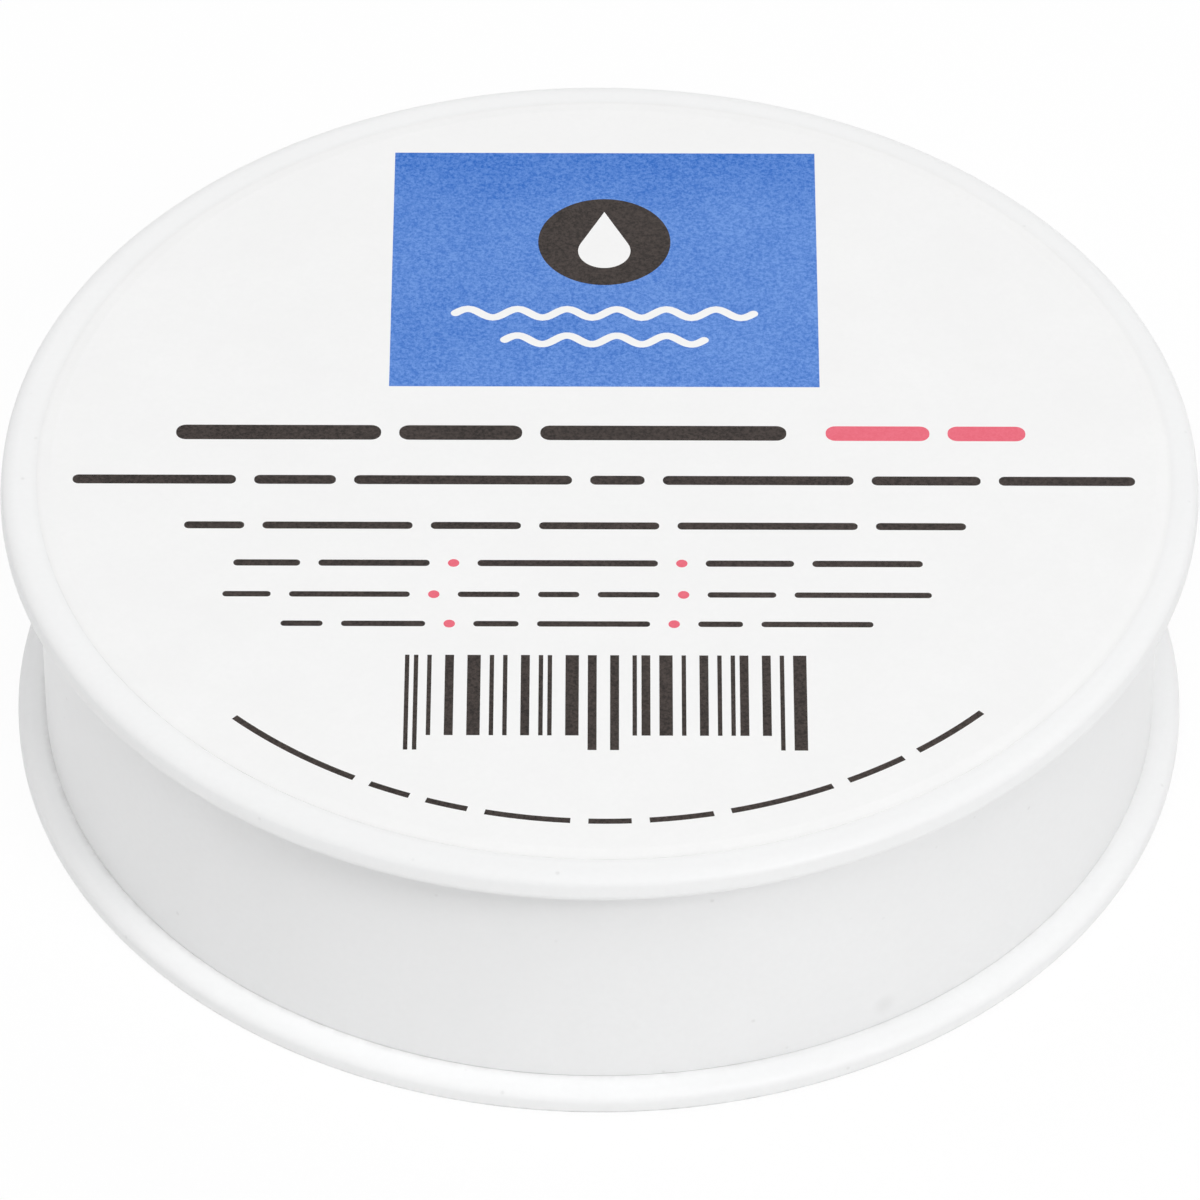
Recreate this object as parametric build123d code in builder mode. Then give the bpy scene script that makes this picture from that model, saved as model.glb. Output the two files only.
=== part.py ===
from build123d import *
import os

# A round finger moistener pot: a base tray with an inner cup, a cake of moistening compound in the cup,
# a lid whose skirt slides down over the cup onto the tray's flange, and a paper label on the lid.
# Millimetres. The Z axis is the pot's centre line and the pot stands on Z = 0.

# Overall sizes
closed_height = 20.4
skirt_outer_diameter = 71.5

# Lid
lid_rim_overhang = 2.3
lid_rim_thickness = 1.7
lid_rim_draft_degrees = 7.0
lid_rim_top_round = 0.65
lid_rim_lower_round = 0.5
lid_top_thickness = 1.5
lid_inner_round = 0.5
skirt_wall = 1.2
skirt_foot_round = 0.12
skirt_root_round = 0.4

# Base tray
flange_overhang = 1.8
flange_thickness = 1.5
flange_top_round = 0.75
flange_lower_round = 0.3
cup_wall = 1.3
cup_rim_round = 0.45
cup_corner_round = 1.2
foot_ring_width = 4.2
foot_recess_depth = 0.4
gate_dimple_diameter = 6.0
gate_dimple_depth = 0.3

# Moistening compound
fill_headspace = 4.2
surface_dip = 0.5
meniscus_slope = 0.2

# Label, stuck on the lid a little to the right of its centre
label_inset = 2.12
label_offset = 0.27
label_thickness = 0.12

# Clearances
skirt_clearance = 0.2
cup_rim_clearance = 1.0
compound_clearance = 0.1

# Radii that follow from the sizes above
skirt_outer_radius = skirt_outer_diameter / 2
skirt_inner_radius = skirt_outer_radius - skirt_wall
lid_rim_radius = skirt_outer_radius + lid_rim_overhang
flange_radius = skirt_outer_radius + flange_overhang
cup_outer_radius = skirt_inner_radius - skirt_clearance
cup_inner_radius = cup_outer_radius - cup_wall
compound_radius = cup_inner_radius - compound_clearance
label_radius = lid_rim_radius - label_inset
foot_recess_radius = flange_radius - foot_ring_width

# Heights that follow from the sizes above
flange_top_z = flange_thickness
lid_underside_z = closed_height - lid_top_thickness
rim_underside_z = closed_height - lid_rim_thickness
cup_rim_z = lid_underside_z - cup_rim_clearance
compound_edge_z = cup_rim_z - fill_headspace
compound_middle_z = compound_edge_z - surface_dip


def round_edges(part, height):
    """The circular edges of a part that lie at one height, smallest first."""
    level = part.edges().filter_by(GeomType.CIRCLE).filter_by_position(Axis.Z, height, height)
    return level.sort_by(SortBy.RADIUS)


with BuildPart() as base_tray:
    # Flange and floor in one disc, with the cup wall standing on it
    Cylinder(flange_radius, flange_thickness, align=(Align.CENTER, Align.CENTER, Align.MIN))
    with BuildSketch(Plane.XY.offset(flange_top_z)):
        Circle(cup_outer_radius)
        Circle(cup_inner_radius, mode=Mode.SUBTRACT)
    extrude(amount=cup_rim_z - flange_top_z)
    fillet(round_edges(base_tray, cup_rim_z), cup_rim_round)
    fillet(round_edges(base_tray, flange_top_z)[0], cup_corner_round)
    fillet(round_edges(base_tray, flange_top_z)[-1], flange_top_round)
    fillet(round_edges(base_tray, 0)[-1], flange_lower_round)
    # Recess under the floor, which leaves a foot ring, and the moulding gate's dimple in its middle
    with BuildSketch(Plane.XY):
        Circle(foot_recess_radius)
    extrude(amount=foot_recess_depth, mode=Mode.SUBTRACT)
    with BuildSketch(Plane.XY.offset(foot_recess_depth)):
        Circle(gate_dimple_diameter / 2)
    extrude(amount=gate_dimple_depth, mode=Mode.SUBTRACT)
base_tray.part.label = "base_tray"

with BuildPart() as moistening_compound:
    # A cast cake: flat below with a rounded corner, its open surface drawn down a little in the middle
    with BuildSketch(Plane.XZ):
        with BuildLine():
            FilletPolyline(
                (0, flange_top_z),
                (compound_radius, flange_top_z),
                (compound_radius, compound_edge_z),
                radius=cup_corner_round + compound_clearance,
            )
            Spline(
                (compound_radius, compound_edge_z),
                (0, compound_middle_z),
                tangents=((-1, -meniscus_slope), (-1, 0)),
            )
            Line((0, compound_middle_z), (0, flange_top_z))
        make_face()
    revolve(axis=Axis.Z)
moistening_compound.part.label = "moistening_compound"

with BuildPart() as lid:
    # The skirt's full height, with the rim around its top, drawn in a little upwards for the mould
    with BuildSketch(Plane.XY.offset(flange_top_z)):
        Circle(skirt_outer_radius)
    extrude(amount=closed_height - flange_top_z)
    with BuildSketch(Plane.XY.offset(rim_underside_z)):
        Circle(lid_rim_radius)
    extrude(amount=lid_rim_thickness, taper=lid_rim_draft_degrees)
    # The hollow that takes the cup
    with BuildSketch(Plane.XY.offset(flange_top_z)):
        Circle(skirt_inner_radius)
    extrude(amount=lid_underside_z - flange_top_z, mode=Mode.SUBTRACT)
    fillet(round_edges(lid, closed_height)[-1], lid_rim_top_round)
    fillet(round_edges(lid, rim_underside_z)[-1], lid_rim_lower_round)
    fillet(round_edges(lid, rim_underside_z)[0], skirt_root_round)
    fillet(round_edges(lid, lid_underside_z), lid_inner_round)
    fillet(round_edges(lid, flange_top_z), skirt_foot_round)
lid.part.label = "lid"

with BuildPart() as top_label:
    with BuildSketch(Plane((label_offset, 0, closed_height))):
        Circle(label_radius)
    extrude(amount=label_thickness)
top_label.part.label = "top_label"

os.makedirs("parts", exist_ok=True)
export_step(base_tray.part, "parts/base_tray.step")
export_step(moistening_compound.part, "parts/moistening_compound.step")
export_step(lid.part, "parts/lid.step")
export_step(top_label.part, "parts/top_label.step")
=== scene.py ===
import math

import bmesh
import bpy
from mathutils import Matrix, Vector, geometry, noise


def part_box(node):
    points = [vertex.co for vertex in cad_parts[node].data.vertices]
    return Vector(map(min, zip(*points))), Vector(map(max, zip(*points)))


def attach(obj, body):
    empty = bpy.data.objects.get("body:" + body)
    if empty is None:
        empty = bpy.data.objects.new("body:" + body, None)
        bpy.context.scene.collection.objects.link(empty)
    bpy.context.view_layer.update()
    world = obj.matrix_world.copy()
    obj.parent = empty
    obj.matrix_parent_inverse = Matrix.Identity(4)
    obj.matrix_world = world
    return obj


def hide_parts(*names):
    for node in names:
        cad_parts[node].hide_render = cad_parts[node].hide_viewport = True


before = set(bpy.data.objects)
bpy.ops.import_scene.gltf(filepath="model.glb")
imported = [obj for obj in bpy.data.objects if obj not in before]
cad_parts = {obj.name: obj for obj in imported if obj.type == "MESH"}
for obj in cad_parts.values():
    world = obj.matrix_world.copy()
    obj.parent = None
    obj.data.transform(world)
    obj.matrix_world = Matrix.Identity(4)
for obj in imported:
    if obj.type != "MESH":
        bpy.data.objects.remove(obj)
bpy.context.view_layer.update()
MM = 0.001

# Places read from the frame, in metres
_, tray_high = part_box("base_tray")
lid_low, lid_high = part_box("lid")
label_low, label_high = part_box("top_label")
cake_low, cake_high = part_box("moistening_compound")

# Turned shapes, in millimetres, as in the frame's solids. A bend with two lengths is a flattened
# round: the lengths that it takes up along the first and the second face
LID_TOP = lid_high.z / MM
RIM_TOP_CORNER = 37.84
RIM_LOW_CORNER = 38.05
LID_UNDERSIDE = 18.9
RIM_UNDERSIDE = 18.7
RIM_TOP_BEND = (0.9, 0.5)
RIM_LOWER_ROUND = 0.5
SKIRT_RADIUS = 35.75
SKIRT_INSIDE = 34.55
SKIRT_ROOT_ROUND = 0.4
SKIRT_FOOT_ROUND = 0.12
LID_INSIDE_ROUND = 0.5
FLANGE_TOP = lid_low.z / MM
FLANGE_RADIUS = tray_high.x / MM
FLANGE_TOP_BEND = (0.65, 0.9)
FLANGE_LOWER_ROUND = 0.3
CUP_RIM = tray_high.z / MM
CUP_OUTSIDE = 34.35
CUP_INSIDE = 33.05
CUP_RIM_ROUND = 0.45
CUP_CORNER_ROUND = 1.2
FOOT_INSIDE = 33.35
FOOT_RECESS = 0.4
GATE_RADIUS = 3.0
GATE_TOP = 0.7
BROKEN_EDGE = 0.08

# How finely pieces are turned: steps round a piece and round a bend, the short run beside a bend and
# the longest run, in millimetres, and what counts as no length at all
TURN_STEPS = 288
ROUND_STEPS = 10
EDGE_RUN = 0.04
LONGEST_RUN = 2.5
TINY = 1e-6
FLOAT_SLACK = 1e-4

# Plastic: the tray is a little whiter than the lid, which is painted light for its brighter flange, and
# it takes more of the dust and painted crease shade along the foot line. Reaches and places are in
# millimetres, the rest are shares
LID_WHITE = 0.91
TRAY_WHITE_WITH_PAINTED_LIGHT = 0.925
COOL = (1.0, 1.003, 1.005)
FLOW_DARKER = 0.006
FLOW_LIGHTER = 0.014
GRAIN_DARKER = 0.025
GRAIN = 0.35
PLASTIC_ROUGHNESS = (0.40, 0.50)
# Tone that dust, dirt and the painted shade marks are mixed towards
DIRT_AND_SHADE_TONE = (0.46, 0.455, 0.445, 1.0)
DIRT_ROUGHER = 0.4
# Dust along the foot line, with painted shade in the crease between lid and tray, more on the shaded
# left
LID_FOOT_DUST_AND_SHADE = 0.06
TRAY_FOOT_DUST_AND_SHADE = 0.2
FOOT_DUST_AND_SHADE_REACH = 0.5
FOOT_DUST_AND_SHADE_LEFT = -36.0
FOOT_DUST_AND_SHADE_RIGHT = 20.0
FOOT_DUST_AND_SHADE_RIGHT_SHARE = 0.3
SMUDGE_PLACE = (17.8, -31.0, 3.1)
SMUDGE_REACH = 1.1
SMUDGE = 0.14
FLECK = 0.2
FLECK_SCALE = 400.0
FLECK_CORE = 0.02
FLECK_EDGE = 0.08
# Painted contact shadow along the flange's lower edge
PAINTED_CONTACT_SHADOW_REACH = 0.34
PAINTED_CONTACT_SHADOW = 0.9
# Dust and painted shade along the label's edge
LABEL_EDGE_DUST_AND_SHADE = 0.08
LABEL_EDGE_DUST_AND_SHADE_REACH_LID = 0.45
LABEL_EDGE_DUST_AND_SHADE_REACH_PAPER = 0.35

# Label, in millimetres from its own centre: X along the print, Y up it
LABEL_OFFSET = 0.27
LABEL_RADIUS = label_high.x / MM - LABEL_OFFSET
LABEL_EDGE_RUN = 0.9
LABEL_EDGE_LIP = 0.03
LABEL_STEPS = 360
LABEL_MERGE = 1e-5
PANEL_CENTRE = (0.02, 18.96)
PANEL_SIZE = (27.53, 23.22)
BADGE_CENTRE = (0.0, 21.6)
BADGE_RADIUS = 4.3
DROP_RADIUS = 1.7
DROP_TIP = 3.9
DROP_SINK = 0.9
WAVE_LEVELS = (14.5, 11.9)
WAVE_LENGTHS = (19.2, 12.8)
WAVE_PITCH = 3.2
WAVE_RISE = 0.42
WAVE_THICK = 0.62

# Rows of plain bars: height of the middle, bar height, left and right ends, shares of the length, ink
ROWS = (
    (2.9, 1.4, -27.2, 11.6, (5, 3, 6), "dark"),
    (2.9, 1.4, 14.1, 26.8, (4, 3), "pink"),
    (-1.6, 0.85, -33.6, 33.6, (6, 3, 8, 2, 7, 4, 5), "dark"),
    (-5.9, 0.66, -26.4, 22.8, (2, 5, 3, 4, 6, 3), "dark"),
    (-9.4, 0.58, -23.2, -10.9, (3, 5), "dark"),
    (-9.4, 0.58, -7.9, 3.4, (1,), "dark"),
    (-9.4, 0.58, 6.4, 20.0, (4, 5), "dark"),
    (-12.3, 0.5, -23.8, -12.1, (2, 5), "dark"),
    (-12.3, 0.5, -9.1, 3.5, (3, 2, 3), "dark"),
    (-12.3, 0.5, 6.5, 20.5, (3, 6), "dark"),
    (-15.0, 0.5, -20.1, -11.1, (2, 4), "dark"),
    (-15.0, 0.5, -8.1, 2.9, (2, 5), "dark"),
    (-15.0, 0.5, 5.9, 16.8, (2, 5), "dark"),
)
ROW_GAP = 1.15
ROW_CORNER_SHARE = 0.45
DOT_RADIUS = 0.36
DOTS = ((-9.4, -9.4), (4.9, -9.4), (-10.6, -12.3), (5.0, -12.3), (-9.6, -15.0), (4.4, -15.0))
STRIPES_LEFT = -12.3
STRIPES_TOP = -17.85
STRIPES_LOW = -25.1
STRIPES_GUARD_LOW = -26.4
STRIPE_MODULE = 0.2765
STRIPE_WIDEST_GAP = 3
STRIPE_WIDTHS = (1, 1, 1, 2, 3, 1, 1, 2, 1, 1, 3, 2, 2, 1, 2, 3, 1, 2, 1, 1, 2, 2, 1, 3)
GUARD_BARS = (0, 1, 11, 12, 22, 23)
ARC_RADIUS = 32.7
ARC_HEIGHT = 0.45
ARC_START = -134.0
ARC_END = -44.5
ARC_SHARES = (7, 2, 2, 4, 2, 3, 5, 3, 4)
ARC_GAP = 1.1

# Paper and inks: the darker and the lighter end of each, which clouding and grain run between. The
# blue is laid on heavier towards the panel's upper edge
PAPER_CLOUD = ((0.915, 0.914, 0.912, 1.0), (0.94, 0.94, 0.938, 1.0))
PAPER_MOTTLE = (0.89, 0.89, 0.888, 1.0)
PAPER_ROUGHNESS = (0.46, 0.56)
MOTTLE = 0.3
BLUE_INK = ((0.036, 0.157, 0.560, 1.0), (0.165, 0.328, 0.760, 1.0))
DARK_INK = ((0.006, 0.003, 0.002, 1.0), (0.056, 0.043, 0.038, 1.0))
PINK_INK = ((0.80, 0.13, 0.185, 1.0), (0.84, 0.17, 0.23, 1.0))
BLUE_HEAVIER = (23.0, 31.0)
PAST_THE_LABEL = (LABEL_RADIUS, LABEL_RADIUS + 1)
# Painted sheen: the inks lighter towards the right
PAINTED_SHEEN_RUN = 14.0
PAINTED_SHEEN_LEFT = -0.02
PAINTED_SHEEN_RIGHT = 0.10
INK_HEAVIER = 0.35
INK_DARKEST = -0.25
INK_GRAIN = 0.8
INK_CLOUD = 0.2
INK_ROUGHNESS = (0.40, 0.52)
INK_SPECULAR = 0.25

# Cake of compound, in millimetres, with the reach of light in the wax in metres
CAKE_RADIUS = cake_high.x / MM
CAKE_LOW = cake_low.z / MM
CAKE_EDGE = cake_high.z / MM
CAKE_CORNER = 1.3
CAKE_DIP = 0.5
CAKE_LIP_ROUND = 0.25
CAKE_REACH = CAKE_RADIUS - CAKE_LIP_ROUND
CAKE_RINGS = 40
CAKE_WAVE = 0.12
CAKE_WAVE_LENGTH = 11.0
CAKE_WAVE_PLACE = 3.7
CAKE_BRIM_POWER = 6
CAKE_DIP_POWER = 0.8
WAX_CLOUD = ((0.80, 0.47, 0.49, 1.0), (0.87, 0.56, 0.57, 1.0))
WAX_GRAIN = (0.90, 0.64, 0.64, 1.0)
WAX_ROUGHNESS = (0.28, 0.46)
WAX_SCATTER = 0.2
WAX_SCATTER_REACH = (0.004, 0.0018, 0.0016)

# Camera, fitted to the lid's and the flange's outlines in the photograph. Places are in metres
CAMERA_SENSOR = 36.0
CAMERA_LENS = 291.56
CAMERA_TARGET = Vector((0.00005, -0.0018, 0.01041))
CAMERA_DISTANCE = 0.6214
CAMERA_ELEVATION = math.radians(42.60)
CAMERA_ROLL = math.radians(-0.15)

# Light: soft lamps by name, direction from the object, size and power. Of the lamps only the small
# one shows in reflections. Floor and background are white to the camera and to the rays named here
WORLD_LEVEL = 0.25
LAMP_DISTANCE = 1.4
SOFT = 0.9
SMALL = 0.35
LAMPS = (
    ("sparkle", (0.47, -0.55, 0.69), SMALL, 3.7),
    ("front", (0.0, -0.42, 0.91), SOFT, 7.1),
    ("left", (-0.74, 0.0, 0.67), SOFT, 3.4),
    ("back", (0.0, 0.74, 0.67), SOFT, 2.1),
    ("back_right", (0.53, 0.53, 0.67), SOFT, 2.9),
    ("low_right", (0.60, -0.72, 0.34), SOFT, 1.5),
)
SEEN_BESIDE_CAMERA = ("Is Glossy Ray", "Is Transmission Ray")
FLOOR_DROP = 0.00002
FLOOR_SIDE = 6.0
FLOOR_WHITE = 0.92
FLOOR_CLOUD = ((0.965, 0.965, 0.965, 1.0), (0.975, 0.975, 0.975, 1.0))
FLOOR_ROUGHNESS = 0.9
WHITE = (1.0, 1.0, 1.0, 1.0)


class Graph:
    """A material's node tree, with short calls to add nodes and link them."""

    def __init__(self, name):
        self.material = bpy.data.materials.new(name)
        self.material.use_nodes = True
        self.tree = self.material.node_tree
        self.shader = self.tree.nodes["Principled BSDF"]

    def put(self, socket, value):
        if isinstance(value, bpy.types.NodeSocket):
            self.tree.links.new(value, socket)
        else:
            socket.default_value = value

    def add(self, kind, inputs=(), **settings):
        node = self.tree.nodes.new("ShaderNode" + kind)
        for key, value in settings.items():
            setattr(node, key, value)
        for key, value in dict(inputs).items():
            self.put(node.inputs[key], value)
        return node

    def place(self):
        return self.add("TexCoord").outputs["Object"]

    def noise(self, vector, scale, detail=3.0, roughness=0.5, distortion=0.0):
        return self.add("TexNoise", {
            "Vector": vector, "Scale": scale, "Detail": detail,
            "Roughness": roughness, "Distortion": distortion,
        }).outputs["Fac"]

    def math(self, operation, a, b=0.0, c=0.0):
        return self.add("Math", {0: a, 1: b, 2: c}, operation=operation).outputs[0]

    def spread(self, value, low, high, out_low=0.0, out_high=1.0, smooth=False):
        """The value from low to high, taken to out_low to out_high and held at the ends."""
        node = self.add("MapRange", {
            "Value": value, "From Min": low, "From Max": high,
            "To Min": out_low, "To Max": out_high,
        }, interpolation_type="SMOOTHSTEP" if smooth else "LINEAR")
        return node.outputs["Result"]

    def length(self, x, y):
        both = self.add("CombineXYZ", {0: x, 1: y}).outputs[0]
        return self.add("VectorMath", {0: both}, operation="LENGTH").outputs["Value"]

    def ring_distance(self, vector, radius, height, offset=0.0):
        """How far a point is from a level circle round the centre line, or one moved along X."""
        part = self.add("SeparateXYZ", {0: vector}).outputs
        across = self.length(self.math("SUBTRACT", part["X"], offset), part["Y"])
        return self.length(
            self.math("SUBTRACT", across, radius), self.math("SUBTRACT", part["Z"], height))

    def label_edge(self, vector, reach):
        """1 at the label's edge, fading to 0 at that reach from it, broken up by noise: dust and
        painted shade along the edge.
        """
        away = self.ring_distance(vector, LABEL_RADIUS * MM, LID_TOP * MM, LABEL_OFFSET * MM)
        near = self.spread(away, 0.0, reach * MM, 1.0, 0.0, smooth=True)
        broken = self.noise(vector, scale=400.0, detail=3.0, roughness=0.6)
        return self.math("MULTIPLY", near, self.spread(broken, 0.3, 0.7, 0.6, 1.0))

    def mix(self, factor, a, b, clamp=True):
        node = self.add("Mix", {0: factor, 6: a, 7: b}, data_type="RGBA", clamp_factor=clamp)
        return node.outputs[2]

    def bump(self, height, strength, distance, normal=None):
        node = self.add("Bump", {"Height": height, "Strength": strength, "Distance": distance})
        if normal is not None:
            self.put(node.inputs["Normal"], normal)
        return node.outputs["Normal"]

    def set(self, **values):
        for key, value in values.items():
            self.put(self.shader.inputs[key.replace("_", " ")], value)


def cool(level):
    """A white with a trace of blue."""
    return tuple(level * share for share in COOL) + (1.0,)


def white_plastic(name, white, foot_dust_and_shade_amount):
    """Moulded white plastic: faint flow marks, a fine grain and rubbed patches, with dust and painted
    crease shade along the foot line, most of it on the shaded left, dust and painted shade along the
    label's edge, a few flecks, one smudge low on the wall and a painted contact shadow along the
    lower edge."""
    g = Graph(name)
    at = g.place()
    flow = g.noise(at, scale=60.0, detail=4.0, roughness=0.55, distortion=0.6)
    grain = g.spread(g.noise(at, scale=2400.0, detail=2.0), 0.3, 0.7)
    flow = g.spread(flow, 0.3, 0.7)
    body = g.mix(flow, cool(white - FLOW_DARKER), cool(white + FLOW_LIGHTER))
    body = g.mix(g.math("MULTIPLY", grain, GRAIN), body, cool(white - GRAIN_DARKER))
    # Dust and painted crease shade along the foot line, more on the shaded left
    away = g.ring_distance(at, SKIRT_RADIUS * MM, FLANGE_TOP * MM)
    near = g.spread(away, 0.0, FOOT_DUST_AND_SHADE_REACH * MM, 1.0, 0.0, smooth=True)
    across = g.add("SeparateXYZ", {0: at}).outputs["X"]
    side = g.spread(across, FOOT_DUST_AND_SHADE_LEFT * MM, FOOT_DUST_AND_SHADE_RIGHT * MM, foot_dust_and_shade_amount, FOOT_DUST_AND_SHADE_RIGHT_SHARE * foot_dust_and_shade_amount)
    broken = g.spread(g.noise(at, scale=700.0, detail=4.0, roughness=0.7), 0.35, 0.65, 0.3, 1.5)
    foot_dust_and_shade = g.math("MULTIPLY", near, g.math("MULTIPLY", side, broken))
    flecks = g.add("TexVoronoi", {"Vector": at, "Scale": FLECK_SCALE}).outputs["Distance"]
    fleck = g.spread(flecks, FLECK_CORE, FLECK_EDGE, FLECK, 0.0, smooth=True)
    place = Vector(SMUDGE_PLACE) * MM
    away = g.add("VectorMath", {0: at, 1: place}, operation="DISTANCE").outputs["Value"]
    smudge = g.spread(away, 0.0, SMUDGE_REACH * MM, SMUDGE, 0.0, smooth=True)
    # Dust and painted shade along the label's edge
    edge = g.math("MULTIPLY", g.label_edge(at, LABEL_EDGE_DUST_AND_SHADE_REACH_LID), LABEL_EDGE_DUST_AND_SHADE)
    # Painted contact shadow along the flange's lower edge
    away = g.ring_distance(at, FLANGE_RADIUS * MM, 0.0)
    painted_contact_shadow = g.spread(away, 0.0, PAINTED_CONTACT_SHADOW_REACH * MM, PAINTED_CONTACT_SHADOW, 0.0, smooth=True)
    # All dark marks together: dust, flecks, a smudge and painted shade
    dirt_and_painted_shade = g.math("MAXIMUM", edge, g.math("MULTIPLY", painted_contact_shadow, broken))
    for mark in (foot_dust_and_shade, fleck, smudge):
        dirt_and_painted_shade = g.math("MAXIMUM", dirt_and_painted_shade, mark)
    g.set(Base_Color=g.mix(dirt_and_painted_shade, body, DIRT_AND_SHADE_TONE))
    rubbed = g.noise(at, scale=130.0, detail=5.0, roughness=0.65, distortion=1.2)
    rubbed = g.spread(rubbed, 0.35, 0.7, *PLASTIC_ROUGHNESS)
    g.set(Roughness=g.math("ADD", rubbed, g.math("MULTIPLY", dirt_and_painted_shade, DIRT_ROUGHER)))
    peel = g.bump(g.noise(at, scale=520.0, detail=2.0), strength=0.10, distance=0.00002)
    fine = g.noise(at, scale=3200.0, detail=2.0)
    g.set(Normal=g.bump(fine, strength=0.10, distance=0.00001, normal=peel))
    return g.material


def paper(name):
    """Coated label paper, smooth, with a fine mottle, clouding and a little dust and painted shade at
    its cut edge.
    """
    g = Graph(name)
    at = g.place()
    cloud = g.spread(g.noise(at, scale=180.0, detail=4.0, roughness=0.6), 0.3, 0.7)
    mottle = g.spread(g.noise(at, scale=3000.0, detail=3.0, roughness=0.6), 0.35, 0.7)
    body = g.mix(cloud, *PAPER_CLOUD)
    body = g.mix(g.math("MULTIPLY", mottle, MOTTLE), body, PAPER_MOTTLE)
    # Dust and painted shade along the label's edge
    dirt_and_painted_shade = g.math("MULTIPLY", g.label_edge(at, LABEL_EDGE_DUST_AND_SHADE_REACH_PAPER), LABEL_EDGE_DUST_AND_SHADE)
    g.set(Base_Color=g.mix(dirt_and_painted_shade, body, DIRT_AND_SHADE_TONE))
    g.set(Roughness=g.spread(cloud, 0.0, 1.0, *PAPER_ROUGHNESS))
    g.set(Normal=g.bump(mottle, strength=0.06, distance=0.00001))
    return g.material


def ink(name, ends, heavier=PAST_THE_LABEL):
    """Printed ink: its colour broken up by a fine grain and clouded, lighter towards the right as a
    painted sheen, and heavier from one height on the label to another."""
    g = Graph(name)
    at = g.place()
    grain = g.spread(g.noise(at, scale=4600.0, detail=3.0, roughness=0.75), 0.38, 0.62)
    cloud = g.spread(g.noise(at, scale=220.0, detail=4.0, roughness=0.65), 0.35, 0.65)
    tone = g.math("ADD", g.math("MULTIPLY", grain, INK_GRAIN), g.math("MULTIPLY", cloud, INK_CLOUD))
    part = g.add("SeparateXYZ", {0: at}).outputs
    # Painted sheen: lighter towards the right
    painted_sheen = g.spread(part["X"], -PAINTED_SHEEN_RUN * MM, PAINTED_SHEEN_RUN * MM, PAINTED_SHEEN_LEFT, PAINTED_SHEEN_RIGHT)
    thick = g.spread(part["Y"], heavier[0] * MM, heavier[1] * MM, 0.0, INK_HEAVIER, smooth=True)
    tone = g.math("SUBTRACT", g.math("ADD", tone, painted_sheen), thick)
    g.set(Base_Color=g.mix(g.math("MAXIMUM", tone, INK_DARKEST), *ends, clamp=False))
    g.set(Roughness=g.spread(grain, 0.0, 1.0, *INK_ROUGHNESS))
    g.set(Normal=g.bump(grain, strength=0.05, distance=0.00001))
    g.set(Specular_IOR_Level=INK_SPECULAR)
    return g.material


def waxy_compound(name):
    """Pale pink waxy paste: soft clouding, a fine grain and a satin skin."""
    g = Graph(name)
    at = g.place()
    cloud = g.noise(at, scale=90.0, detail=5.0, roughness=0.6, distortion=0.8)
    cloud = g.spread(cloud, 0.3, 0.7)
    grain = g.spread(g.noise(at, scale=1500.0, detail=3.0, roughness=0.6), 0.35, 0.7)
    body = g.mix(cloud, *WAX_CLOUD)
    g.set(Base_Color=g.mix(g.math("MULTIPLY", grain, MOTTLE), body, WAX_GRAIN))
    g.set(Roughness=g.spread(cloud, 0.0, 1.0, *WAX_ROUGHNESS))
    g.set(Subsurface_Weight=WAX_SCATTER, Subsurface_Radius=WAX_SCATTER_REACH)
    g.set(Normal=g.bump(grain, strength=0.08, distance=0.00003))
    return g.material


def floor_white(name):
    """Pale floor: it takes the object's shadow softly and is white to the camera and in reflections."""
    g = Graph(name)
    at = g.place()
    cloud = g.spread(g.noise(at, scale=3.0, detail=3.0), 0.3, 0.7)
    g.set(Base_Color=g.mix(cloud, *FLOOR_CLOUD), Roughness=FLOOR_ROUGHNESS, Specular_IOR_Level=0.0)
    rays = g.add("LightPath").outputs
    seen = rays["Is Camera Ray"]
    for kind in SEEN_BESIDE_CAMERA:
        seen = g.math("MAXIMUM", seen, rays[kind])
    glow = g.add("Emission", {"Color": WHITE, "Strength": 1.0}).outputs[0]
    share = g.math("MULTIPLY", seen, FLOOR_WHITE)
    both = g.add("MixShader", {0: share, 1: g.shader.outputs[0], 2: glow})
    g.put(g.tree.nodes["Material Output"].inputs["Surface"], both.outputs[0])
    return g.material


def arc_points(centre, radius, start, end, steps):
    """Points on an arc from start to end, in degrees, both ends among them."""
    angles = [math.radians(start + (end - start) * i / steps) for i in range(steps + 1)]
    return [(centre[0] + radius * math.cos(t), centre[1] + radius * math.sin(t)) for t in angles]


def disc(centre, radius, steps=48):
    return arc_points(centre, radius, 0, 360, steps)[:-1]


def rounded_bar(x0, x1, y, height, corner, steps=6):
    """A level bar with rounded corners."""
    half = height / 2 - corner
    corners = (
        ((x1 - corner, y + half), 0), ((x0 + corner, y + half), 90),
        ((x0 + corner, y - half), 180), ((x1 - corner, y - half), 270),
    )
    arcs = [arc_points(centre, corner, start, start + 90, steps) for centre, start in corners]
    return [point for arc in arcs for point in arc]


def box_bar(x0, x1, y0, y1):
    return [(x0, y0), (x1, y0), (x1, y1), (x0, y1)]


def arc_bar(radius, start, end, height, steps=10):
    """A bar bent along the label's edge, read from the label's centre."""
    inner = arc_points((0, 0), radius - height / 2, end, start, steps)
    outer = arc_points((0, 0), radius + height / 2, start, end, steps)
    return outer + inner


def drop(centre, radius, tip, steps=40):
    """A drop: a round belly whose sides run straight up to a point."""
    lean = math.degrees(math.acos(radius / tip))
    belly = arc_points(centre, radius, 90 + lean, 450 - lean, steps)
    return belly + [(centre[0], centre[1] + tip)]


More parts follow.
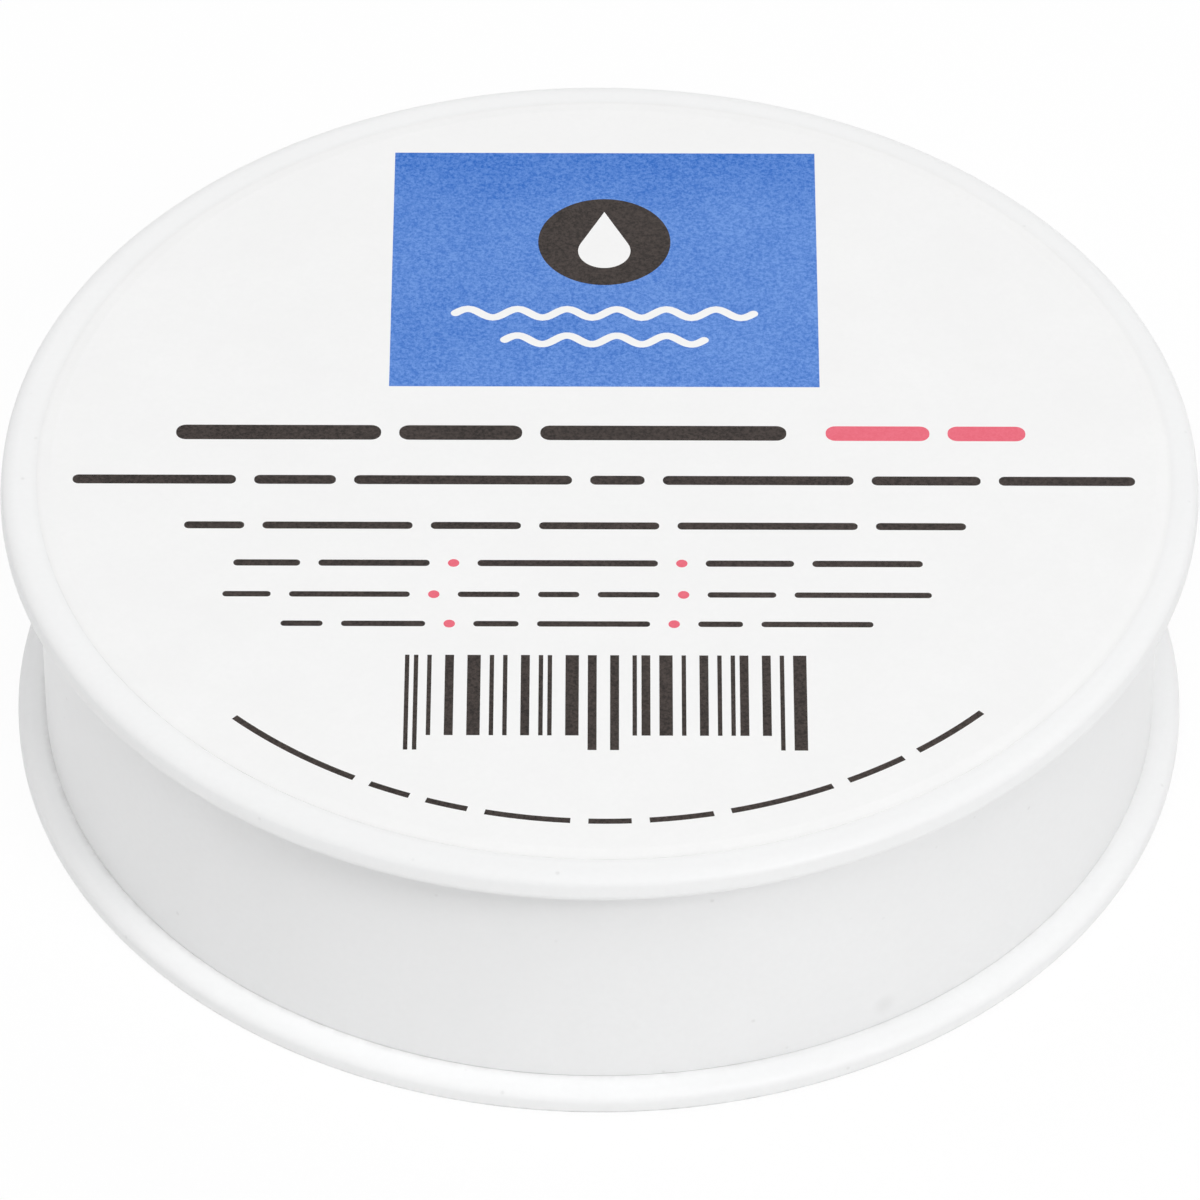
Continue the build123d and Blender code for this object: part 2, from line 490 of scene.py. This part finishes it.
def wave(x0, x1, y, rise, turns, thick, steps=72, end_steps=8):
    """A wavy line of even thickness with round ends."""
    upper, lower, ends = [], [], []
    for i in range(steps + 1):
        phase = 2 * math.pi * turns * i / steps
        slope = rise * math.cos(phase) * 2 * math.pi * turns / (x1 - x0)
        across = Vector((-slope, 1.0)).normalized() * (thick / 2)
        middle = Vector((x0 + (x1 - x0) * i / steps, y + rise * math.sin(phase)))
        upper.append(tuple(middle + across))
        lower.append(tuple(middle - across))
        if i in (0, steps):
            ends.append((middle, math.degrees(math.atan(slope))))
    (first, first_lean), (last, last_lean) = ends
    right = arc_points(last, thick / 2, last_lean - 90, last_lean + 90, end_steps)[1:-1]
    left = arc_points(first, thick / 2, first_lean + 90, first_lean + 270, end_steps)[1:-1]
    return lower + right + upper[::-1] + left


def split(left, right, shares, gap):
    """The (start, end) of each bar in a row, by shares of what the gaps leave."""
    unit = (right - left - gap * (len(shares) - 1)) / sum(shares)
    bars, at = [], left
    for share in shares:
        bars.append((at, at + share * unit))
        at += share * unit + gap
    return bars


def label_print():
    """(ink, outline) for each printed shape, later ones over earlier ones."""
    x, y = PANEL_CENTRE
    wide, high = PANEL_SIZE
    shapes = [("blue", box_bar(x - wide / 2, x + wide / 2, y - high / 2, y + high / 2))]
    shapes.append(("dark", disc(BADGE_CENTRE, BADGE_RADIUS, steps=72)))
    drop_centre = (BADGE_CENTRE[0], BADGE_CENTRE[1] - DROP_SINK)
    shapes.append(("paper", drop(drop_centre, DROP_RADIUS, DROP_TIP)))
    for level, length in zip(WAVE_LEVELS, WAVE_LENGTHS):
        left, right, turns = x - length / 2, x + length / 2, length / WAVE_PITCH
        shapes.append(("paper", wave(left, right, level, WAVE_RISE, turns, WAVE_THICK)))
    for middle, height, left, right, shares, colour in ROWS:
        for a, b in split(left, right, shares, ROW_GAP):
            shapes.append((colour, rounded_bar(a, b, middle, height, height * ROW_CORNER_SHARE)))
    shapes += [("pink", disc(at, DOT_RADIUS, steps=24)) for at in DOTS]
    at = STRIPES_LEFT
    for i, width in enumerate(STRIPE_WIDTHS):
        low = STRIPES_GUARD_LOW if i in GUARD_BARS else STRIPES_LOW
        shapes.append(("dark", box_bar(at, at + width * STRIPE_MODULE, low, STRIPES_TOP)))
        gap = STRIPE_WIDTHS[-1 - i] % STRIPE_WIDEST_GAP + 1
        at += (width + gap) * STRIPE_MODULE
    per_degree = math.radians(ARC_RADIUS)
    for a, b in split(ARC_START, ARC_END, ARC_SHARES, ARC_GAP / per_degree):
        shapes.append(("dark", arc_bar(ARC_RADIUS, a, b, ARC_HEIGHT)))
    return shapes


def new_object(name, mesh):
    obj = bpy.data.objects.new(name, mesh)
    bpy.context.scene.collection.objects.link(obj)
    return obj


def make_label(name, materials):
    """The label: a thin disc whose upper face is divided along the edges of the print."""
    rim = disc((0, 0), LABEL_RADIUS - LABEL_EDGE_RUN, LABEL_STEPS)
    outlines = [("paper", rim)] + label_print()
    points, faces = [], []
    for _, outline in outlines:
        faces.append(list(range(len(points), len(points) + len(outline))))
        points += [Vector(p) for p in outline]
    found = geometry.delaunay_2d_cdt(points, [], faces, 1, LABEL_MERGE, True)
    flat, triangles, point_source, face_source = found[0], found[2], found[3], found[5]
    slots = list(materials)
    top, low = label_high.z / MM, label_low.z / MM

    def at(p, z):
        return Vector((p[0] + LABEL_OFFSET, p[1], z)) * MM

    bm = bmesh.new()
    verts = [bm.verts.new(at(p, top)) for p in flat]
    for corners, inside in zip(triangles, face_source):
        face = bm.faces.new([verts[i] for i in corners])
        face.material_index = slots.index(outlines[max(inside)][0])
    edge = [None] * LABEL_STEPS
    for vert, sources in zip(verts, point_source):
        for i in sources:
            if i < LABEL_STEPS:
                edge[i] = vert
    outside = disc((0, 0), LABEL_RADIUS, LABEL_STEPS)
    shoulder = [bm.verts.new(at(p, low + LABEL_EDGE_LIP)) for p in outside]
    foot = [bm.verts.new(at(p, low)) for p in outside]
    for i in range(LABEL_STEPS):
        j = (i + 1) % LABEL_STEPS
        for upper, under in ((edge, shoulder), (shoulder, foot)):
            bm.faces.new((upper[i], under[i], under[j], upper[j]))
    bm.faces.new(foot[::-1])
    mesh = bpy.data.meshes.new(name)
    bm.to_mesh(mesh)
    bm.free()
    for slot in slots:
        mesh.materials.append(materials[slot])
    return new_object(name, mesh)


def rounded(before, corner, after, bend):
    """The points of a bend where two straight runs meet at a corner. It is the radius of a round, or
    the lengths that a flattened round takes up along the first and the second run."""
    here = Vector(corner)
    to_before = (Vector(before) - here).normalized()
    to_after = (Vector(after) - here).normalized()
    if isinstance(bend, tuple):
        first, second = to_before * bend[0], to_after * bend[1]
        centre = here + first + second
        turns = (math.pi / 2 * i / ROUND_STEPS for i in range(ROUND_STEPS + 1))
        return [tuple(centre - second * math.cos(t) - first * math.sin(t)) for t in turns]
    half = to_before.angle(to_after) / 2
    centre = here + (to_before + to_after).normalized() * (bend / math.sin(half))
    start = here + to_before * (bend / math.tan(half)) - centre
    sweep = start.angle_signed(here + to_after * (bend / math.tan(half)) - centre)
    turns = (Matrix.Rotation(-sweep * i / ROUND_STEPS, 2) for i in range(ROUND_STEPS + 1))
    return [tuple(centre + turn @ start) for turn in turns]


def outline_of(corners):
    """(radius, height) along a profile given as corners with their rounds. Long runs are divided, with
    a short step by each round, so that flat faces stay flat in smooth shading."""
    bends = [[corners[0][:2]]]
    for before, corner, after in zip(corners, corners[1:], corners[2:]):
        bends.append(rounded(before[:2], corner[:2], after[:2], corner[2]))
    bends.append([corners[-1][:2]])
    line = list(bends[0])
    for bend in bends[1:]:
        start, end = Vector(line[-1]), Vector(bend[0])
        run = (end - start).length
        count = max(1, math.ceil((run - 2 * EDGE_RUN) / LONGEST_RUN))
        steps = [EDGE_RUN + (run - 2 * EDGE_RUN) * i / count for i in range(count + 1)]
        if run > 3 * EDGE_RUN:
            line += [tuple(start.lerp(end, step / run)) for step in steps]
        line += bend
    return line


def turn(name, line, material, steps=TURN_STEPS):
    """A piece turned from a profile that starts and ends on the centre line."""
    bm = bmesh.new()
    rings = []
    for radius, height in line:
        if radius < TINY:
            rings.append([bm.verts.new((0, 0, height * MM))])
            continue
        circle = disc((0, 0), radius, steps)
        rings.append([bm.verts.new((x * MM, y * MM, height * MM)) for x, y in circle])
    for a, b in zip(rings, rings[1:]):
        for i in range(steps):
            j = (i + 1) % steps
            corners = [a[i % len(a)], a[j % len(a)], b[j % len(b)], b[i % len(b)]]
            face = bm.faces.new(list(dict.fromkeys(corners)))
            face.smooth = True
    bmesh.ops.recalc_face_normals(bm, faces=bm.faces)
    mesh = bpy.data.meshes.new(name)
    bm.to_mesh(mesh)
    bm.free()
    mesh.materials.append(material)
    return new_object(name, mesh)


def make_lid(name, material):
    """Lid: top, rim and skirt, from the middle of the top round to the middle of its underside."""
    return turn(name, outline_of((
        (0.0, LID_TOP),
        (RIM_TOP_CORNER, LID_TOP, RIM_TOP_BEND),
        (RIM_LOW_CORNER, RIM_UNDERSIDE, RIM_LOWER_ROUND),
        (SKIRT_RADIUS, RIM_UNDERSIDE, SKIRT_ROOT_ROUND),
        (SKIRT_RADIUS, FLANGE_TOP, SKIRT_FOOT_ROUND),
        (SKIRT_INSIDE, FLANGE_TOP, SKIRT_FOOT_ROUND),
        (SKIRT_INSIDE, LID_UNDERSIDE, LID_INSIDE_ROUND),
        (0.0, LID_UNDERSIDE),
    )), material)


def make_tray(name, material):
    """Base tray: foot ring, flange and cup, from the underside's middle to the middle of its floor."""
    return turn(name, outline_of((
        (0.0, GATE_TOP),
        (GATE_RADIUS, GATE_TOP, BROKEN_EDGE),
        (GATE_RADIUS, FOOT_RECESS, BROKEN_EDGE),
        (FOOT_INSIDE, FOOT_RECESS, BROKEN_EDGE),
        (FOOT_INSIDE, 0.0, BROKEN_EDGE),
        (FLANGE_RADIUS, 0.0, FLANGE_LOWER_ROUND),
        (FLANGE_RADIUS, FLANGE_TOP, FLANGE_TOP_BEND),
        (CUP_OUTSIDE, FLANGE_TOP, BROKEN_EDGE),
        (CUP_OUTSIDE, CUP_RIM, CUP_RIM_ROUND),
        (CUP_INSIDE, CUP_RIM, CUP_RIM_ROUND),
        (CUP_INSIDE, FLANGE_TOP, CUP_CORNER_ROUND),
        (0.0, FLANGE_TOP),
    )), material)


def make_cake(name, material):
    """The cake: its open surface drawn up a little at the cup's wall and sunk unevenly by cooling."""
    line = outline_of((
        (0.0, CAKE_LOW),
        (CAKE_RADIUS, CAKE_LOW, CAKE_CORNER),
        (CAKE_RADIUS, CAKE_EDGE, CAKE_LIP_ROUND),
        (0.0, CAKE_EDGE),
    ))
    brim = max(i for i, (_, height) in enumerate(line) if height < CAKE_EDGE - TINY)
    cake = turn(name, line[:brim + 1] + [
        (CAKE_REACH * (1 - i / CAKE_RINGS), CAKE_EDGE) for i in range(CAKE_RINGS + 1)
    ], material)
    for vert in cake.data.vertices:
        x, y, z = vert.co / MM
        if z > CAKE_EDGE - FLOAT_SLACK:
            share = math.hypot(x, y) / CAKE_REACH
            inner = 1 - share ** CAKE_BRIM_POWER
            sunk = CAKE_DIP * max(0.0, inner) ** CAKE_DIP_POWER
            place = Vector((x / CAKE_WAVE_LENGTH, y / CAKE_WAVE_LENGTH, CAKE_WAVE_PLACE))
            swell = 0.5 + 0.5 * noise.noise(place)
            vert.co.z -= (sunk + CAKE_WAVE * swell * inner) * MM
    return cake


def make_floor():
    mesh = bpy.data.meshes.new("floor")
    half = FLOOR_SIDE / 2
    corners = [(x * half, y * half, -FLOOR_DROP) for x, y in ((-1, -1), (1, -1), (1, 1), (-1, 1))]
    mesh.from_pydata(corners, [], [(0, 1, 2, 3)])
    mesh.materials.append(floor_white("floor_white"))
    floor = new_object("floor", mesh)


def make_world():
    """Even light from all round, white where the camera or a reflection sees it."""
    world = bpy.data.worlds.new("studio")
    world.use_nodes = True
    tree = world.node_tree
    ambient = tree.nodes["Background"]
    ambient.inputs["Color"].default_value = WHITE
    ambient.inputs["Strength"].default_value = WORLD_LEVEL
    shown = tree.nodes.new("ShaderNodeBackground")
    shown.inputs["Color"].default_value = WHITE
    shown.inputs["Strength"].default_value = 1.0
    rays = tree.nodes.new("ShaderNodeLightPath").outputs
    seen = rays["Is Camera Ray"]
    for kind in SEEN_BESIDE_CAMERA:
        either = tree.nodes.new("ShaderNodeMath")
        either.operation = "MAXIMUM"
        tree.links.new(seen, either.inputs[0])
        tree.links.new(rays[kind], either.inputs[1])
        seen = either.outputs[0]
    both = tree.nodes.new("ShaderNodeMixShader")
    tree.links.new(seen, both.inputs[0])
    tree.links.new(ambient.outputs[0], both.inputs[1])
    tree.links.new(shown.outputs[0], both.inputs[2])
    tree.links.new(both.outputs[0], tree.nodes["World Output"].inputs["Surface"])
    bpy.context.scene.world = world


def make_lamp(name, direction, size, power):
    lamp = bpy.data.lights.new(name, "AREA")
    lamp.shape = "DISK"
    lamp.size = size
    lamp.energy = power
    obj = bpy.data.objects.new(name, lamp)
    obj.visible_glossy = size == SMALL
    obj.location = direction.normalized() * LAMP_DISTANCE
    obj.rotation_euler = direction.to_track_quat("Z", "Y").to_euler()
    bpy.context.scene.collection.objects.link(obj)


def make_camera():
    back = Vector((0, -math.cos(CAMERA_ELEVATION), math.sin(CAMERA_ELEVATION)))
    right = Vector((1, 0, 0))
    up = back.cross(right)
    turned_right = right * math.cos(CAMERA_ROLL) - up * math.sin(CAMERA_ROLL)
    turned_up = right * math.sin(CAMERA_ROLL) + up * math.cos(CAMERA_ROLL)
    data = bpy.data.cameras.new("camera")
    data.sensor_width = CAMERA_SENSOR
    data.lens = CAMERA_LENS
    camera = bpy.data.objects.new("camera", data)
    facing = Matrix((turned_right, turned_up, back)).transposed().to_4x4()
    camera.matrix_world = Matrix.Translation(CAMERA_TARGET + back * CAMERA_DISTANCE) @ facing
    bpy.context.scene.collection.objects.link(camera)
    bpy.context.scene.camera = camera


bpy.context.scene.view_settings.view_transform = "Standard"
make_camera()
make_floor()
make_world()
for lamp_name, direction, size, power in LAMPS:
    make_lamp(lamp_name, Vector(direction), size, power)

lid = make_lid("lid_shell", white_plastic("lid_plastic", LID_WHITE, LID_FOOT_DUST_AND_SHADE))
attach(lid, "lid_body")
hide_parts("lid")

# The tray's plastic is a little whiter than the lid's: painted light for its brighter flange
tray = make_tray("tray_shell", white_plastic("tray_plastic", TRAY_WHITE_WITH_PAINTED_LIGHT, TRAY_FOOT_DUST_AND_SHADE))
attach(tray, "tray_body")
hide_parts("base_tray")

label = make_label("printed_label", {
    "paper": paper("label_paper_coated"),
    "blue": ink("label_blue", BLUE_INK, BLUE_HEAVIER),
    "dark": ink("label_dark", DARK_INK),
    "pink": ink("label_pink", PINK_INK),
})
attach(label, "lid_body")
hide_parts("top_label")

cake = make_cake("compound_cake", waxy_compound("compound_wax"))
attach(cake, "tray_body")
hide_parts("moistening_compound")
